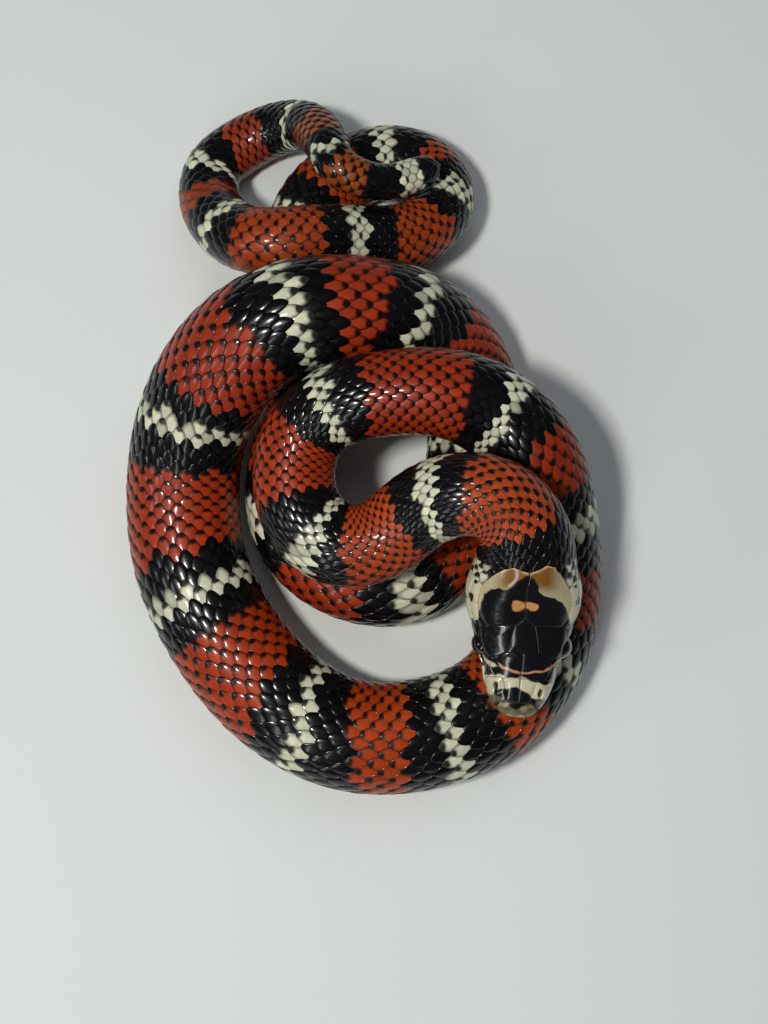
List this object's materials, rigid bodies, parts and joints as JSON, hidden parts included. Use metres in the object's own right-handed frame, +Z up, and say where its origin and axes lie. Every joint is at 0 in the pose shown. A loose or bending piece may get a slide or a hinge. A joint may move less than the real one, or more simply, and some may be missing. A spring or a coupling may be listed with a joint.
{
  "type": "milk snake",
  "caption": "Life-size still model of a milk snake hatchling resting in loose stacked coils, with its head on the outer coil and its tail curled behind.",
  "frame": {"origin": "on the floor under the middle of the coiled body's bounding box", "axes": "+Z up; the snout points to -Y and the tail's curl lies at +Y; +X to the right in the picture, the side the head lies on"},
  "size_m": [0.0428, 0.0652, 0.0206],
  "materials": {
    "banded_scales": "smooth glossy scales in red, black and cream bands",
    "head_shields": "very glossy black head shields with cream and orange marks",
    "eye": "wet, mirror-smooth dark eye"
  },
  "bodies": {
    "root": {"head": "head_shields", "eye_left": "eye", "eye_right": "eye", "neck": "banded_scales", "body_1": "banded_scales", "body_2": "banded_scales", "body_3": "banded_scales", "body_4": "banded_scales", "body_5": "banded_scales", "body_6": "banded_scales", "body_7": "banded_scales", "body_8": "banded_scales", "body_9": "banded_scales", "body_10": "banded_scales", "body_11": "banded_scales", "body_12": "banded_scales", "body_13": "banded_scales", "body_14": "banded_scales", "body_15": "banded_scales", "tail_1": "banded_scales", "tail_2": "banded_scales", "tail_3": "banded_scales"}
  },
  "joints": []
}
